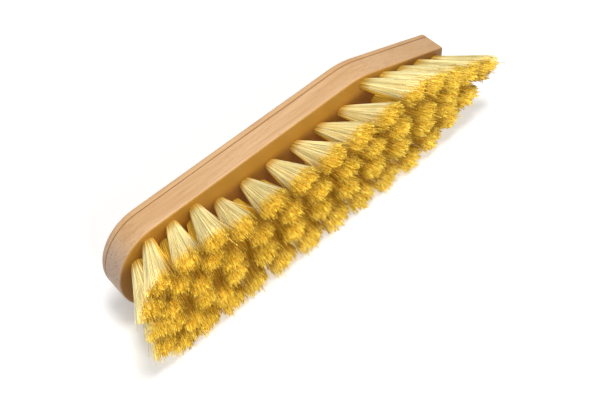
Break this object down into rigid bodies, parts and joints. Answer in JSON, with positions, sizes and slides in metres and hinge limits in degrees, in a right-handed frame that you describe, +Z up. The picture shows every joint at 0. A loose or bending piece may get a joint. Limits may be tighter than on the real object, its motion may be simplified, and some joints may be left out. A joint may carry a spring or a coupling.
{
  "type": "scrub brush",
  "caption": "Hand-drawn wooden scrub brush lying on its side: a drilled beech stock with a glued back and a tapered nose holds flared tufts of stiff plant fibre.",
  "frame": {"origin": "centre of the bounding box in plan, on the surface that the brush lies on", "axes": "+X along the block from its round end to its tapered nose, -Y the way the tufts point, +Z up; the brush lies on the lower long edge of its back and on the tips of its lowest tufts"},
  "size_m": [0.2376, 0.05, 0.0705],
  "materials": {
    "beech": "fine sanded, untreated",
    "glue": "dark glue line",
    "brass_wire": "drawn wire",
    "fibre": "stiff natural plant fibre, pale sides and golden cut ends"
  },
  "bodies": {
    "root": {"stock": "beech", "back_board": "beech", "glue_film": "glue", "drawing_wire": "brass_wire", "tuft_01": "fibre", "tuft_02": "fibre", "tuft_03": "fibre", "tuft_04": "fibre", "tuft_05": "fibre", "tuft_06": "fibre", "tuft_07": "fibre", "tuft_08": "fibre", "tuft_09": "fibre", "tuft_10": "fibre", "tuft_11": "fibre", "tuft_12": "fibre", "tuft_13": "fibre", "tuft_14": "fibre", "tuft_15": "fibre", "tuft_16": "fibre", "tuft_17": "fibre", "tuft_18": "fibre", "tuft_19": "fibre", "tuft_20": "fibre", "tuft_21": "fibre", "tuft_22": "fibre", "tuft_23": "fibre", "tuft_24": "fibre", "tuft_25": "fibre", "tuft_26": "fibre", "tuft_27": "fibre", "tuft_28": "fibre", "tuft_29": "fibre", "tuft_30": "fibre", "tuft_31": "fibre", "tuft_32": "fibre", "tuft_33": "fibre", "tuft_34": "fibre", "tuft_35": "fibre", "tuft_36": "fibre", "tuft_37": "fibre", "tuft_38": "fibre", "tuft_39": "fibre", "tuft_40": "fibre", "tuft_41": "fibre", "tuft_42": "fibre", "tuft_43": "fibre", "tuft_44": "fibre", "tuft_45": "fibre", "tuft_46": "fibre", "tuft_47": "fibre", "tuft_48": "fibre", "tuft_49": "fibre", "tuft_50": "fibre", "tuft_51": "fibre", "tuft_52": "fibre", "tuft_53": "fibre", "tuft_54": "fibre", "tuft_55": "fibre", "tuft_56": "fibre"}
  },
  "joints": []
}
